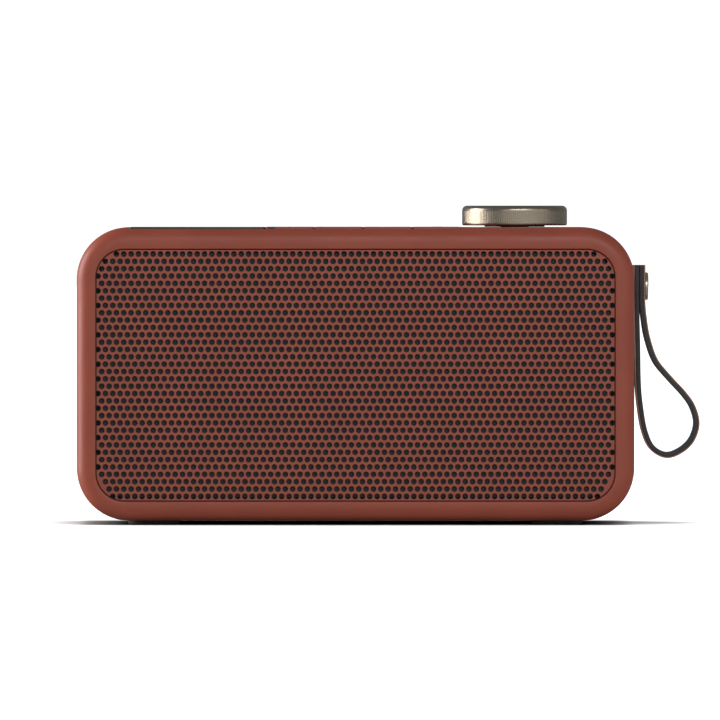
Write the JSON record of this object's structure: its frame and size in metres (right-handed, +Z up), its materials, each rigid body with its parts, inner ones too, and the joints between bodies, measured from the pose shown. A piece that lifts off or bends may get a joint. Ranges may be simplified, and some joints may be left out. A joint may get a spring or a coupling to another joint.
{
  "type": "portable radio",
  "caption": "Compact portable radio: rounded case, perforated front grille, top keys and display, press-and-turn knob, leather strap and telescopic aerial.",
  "frame": {"origin": "centre of the case's flat underside", "axes": "+X to the right as the grille is faced, +Y to the back, +Z up"},
  "size_m": [0.2128, 0.06, 0.1087],
  "materials": {
    "shell_plastic": "fine satin moulding texture, terracotta",
    "key_plastic": "satin, terracotta",
    "grille_steel": "powder coat over perforated steel, terracotta",
    "dark_cloth": "woven acoustic cloth, charcoal",
    "dark_plastic": "moulded, black",
    "lens": "polished, near black",
    "champagne_metal": "anodised, champagne bronze",
    "bright_metal": "plated",
    "magnet": "dark grey",
    "paper_cone": "pressed paper, black",
    "rubber": "matte, black",
    "circuit_board": "green solder resist",
    "cell_wrap": "shrink wrap, blue",
    "wire": "insulated wire, red",
    "strap_leather": "black edges and lining, tan outer face"
  },
  "bodies": {
    "case": {"main_housing": "shell_plastic", "rear_cover": "shell_plastic", "front_grille": "grille_steel", "grille_cloth": "dark_cloth", "speaker_baffle": "dark_plastic", "left_basket": "dark_plastic", "left_magnet": "magnet", "left_surround": "rubber", "left_speaker_lead": "wire", "right_basket": "dark_plastic", "right_magnet": "magnet", "right_surround": "rubber", "right_speaker_lead": "wire", "radiator_surround": "rubber", "display_window": "lens", "display_module": "magnet", "control_board": "circuit_board", "main_board": "circuit_board", "knob_collar": "champagne_metal", "encoder_body": "bright_metal", "battery_holder": "dark_plastic", "battery_cell_1": "cell_wrap", "battery_cell_2": "cell_wrap", "port_panel": "dark_plastic", "usb_socket": "bright_metal", "aux_socket": "bright_metal", "strap_stud": "champagne_metal", "strap_nut": "bright_metal", "power_switch": "magnet", "source_switch": "magnet", "preset_switch": "magnet", "menu_switch": "magnet", "rear_screw_1": "bright_metal", "rear_screw_2": "bright_metal", "rear_screw_3": "bright_metal", "rear_screw_4": "bright_metal", "foot_front_left": "rubber", "foot_front_right": "rubber", "foot_rear_left": "rubber", "foot_rear_right": "rubber"},
    "knob_plunger": {"encoder_plunger": "dark_plastic"},
    "knob": {"knob_cap": "champagne_metal", "knob_insert": "dark_plastic", "encoder_shaft": "bright_metal"},
    "power_key": {"power_key": "key_plastic"},
    "source_key": {"source_key": "key_plastic"},
    "preset_key": {"preset_key": "key_plastic"},
    "menu_key": {"menu_key": "key_plastic"},
    "strap": {"carry_strap": "strap_leather"},
    "aerial_swivel": {"aerial_turret": "bright_metal", "aerial_pin": "bright_metal"},
    "aerial_base": {"aerial_section_1": "bright_metal"},
    "aerial_second": {"aerial_section_2": "bright_metal"},
    "aerial_third": {"aerial_section_3": "bright_metal"},
    "aerial_fourth": {"aerial_section_4": "bright_metal"},
    "aerial_fifth": {"aerial_section_5": "bright_metal", "aerial_tip": "bright_metal"},
    "left_driver_cone": {"left_cone": "paper_cone"},
    "right_driver_cone": {"right_cone": "paper_cone"},
    "radiator": {"radiator_plate": "magnet"}
  },
  "joints": [
    {"name": "knob_press", "type": "slide", "parent": "case", "child": "knob_plunger", "axis": [0, 0, -1], "range_m": [0, 0.0004], "stiffness_N_per_m": 4000, "springref_m": -0.0003},
    {"name": "knob_turn", "type": "hinge", "parent": "knob_plunger", "child": "knob", "pos_m": [0.0545, 0, 0.1], "axis": [0, 0, 1], "continuous": true},
    {"name": "power_key_press", "type": "slide", "parent": "case", "child": "power_key", "axis": [0, 0, -1], "range_m": [0, 0.0003], "stiffness_N_per_m": 2000, "springref_m": -0.0003},
    {"name": "source_key_press", "type": "slide", "parent": "case", "child": "source_key", "axis": [0, 0, -1], "range_m": [0, 0.0003], "stiffness_N_per_m": 2000, "springref_m": -0.0003},
    {"name": "preset_key_press", "type": "slide", "parent": "case", "child": "preset_key", "axis": [0, 0, -1], "range_m": [0, 0.0003], "stiffness_N_per_m": 2000, "springref_m": -0.0003},
    {"name": "menu_key_press", "type": "slide", "parent": "case", "child": "menu_key", "axis": [0, 0, -1], "range_m": [0, 0.0003], "stiffness_N_per_m": 2000, "springref_m": -0.0003},
    {"name": "strap_swivel", "type": "hinge", "parent": "case", "child": "strap", "pos_m": [0.099, 0, 0.0797], "axis": [1, 0, 0], "continuous": true},
    {"name": "aerial_turn", "type": "hinge", "parent": "case", "child": "aerial_swivel", "pos_m": [-0.072, 0.0262, 0.0942], "axis": [0, -1, 0], "range_deg": [0, 180]},
    {"name": "aerial_fold", "type": "hinge", "parent": "aerial_swivel", "child": "aerial_base", "pos_m": [-0.072, 0.0262, 0.0942], "axis": [0, 0, 1], "range_deg": [0, 90]},
    {"name": "aerial_second_draw", "type": "slide", "parent": "aerial_base", "child": "aerial_second", "axis": [1, 0, 0], "range_m": [0, 0.112]},
    {"name": "aerial_third_draw", "type": "slide", "parent": "aerial_second", "child": "aerial_third", "axis": [1, 0, 0], "range_m": [0, 0.112]},
    {"name": "aerial_fourth_draw", "type": "slide", "parent": "aerial_third", "child": "aerial_fourth", "axis": [1, 0, 0], "range_m": [0, 0.112]},
    {"name": "aerial_fifth_draw", "type": "slide", "parent": "aerial_fourth", "child": "aerial_fifth", "axis": [1, 0, 0], "range_m": [0, 0.112]},
    {"name": "left_driver_cone_travel", "type": "slide", "parent": "case", "child": "left_driver_cone", "axis": [0, -1, 0], "range_m": [-0.0015, 0.0015], "stiffness_N_per_m": 1500},
    {"name": "right_driver_cone_travel", "type": "slide", "parent": "case", "child": "right_driver_cone", "axis": [0, -1, 0], "range_m": [-0.0015, 0.0015], "stiffness_N_per_m": 1500},
    {"name": "radiator_travel", "type": "slide", "parent": "case", "child": "radiator", "axis": [0, -1, 0], "range_m": [-0.0015, 0.0015], "stiffness_N_per_m": 900}
  ]
}
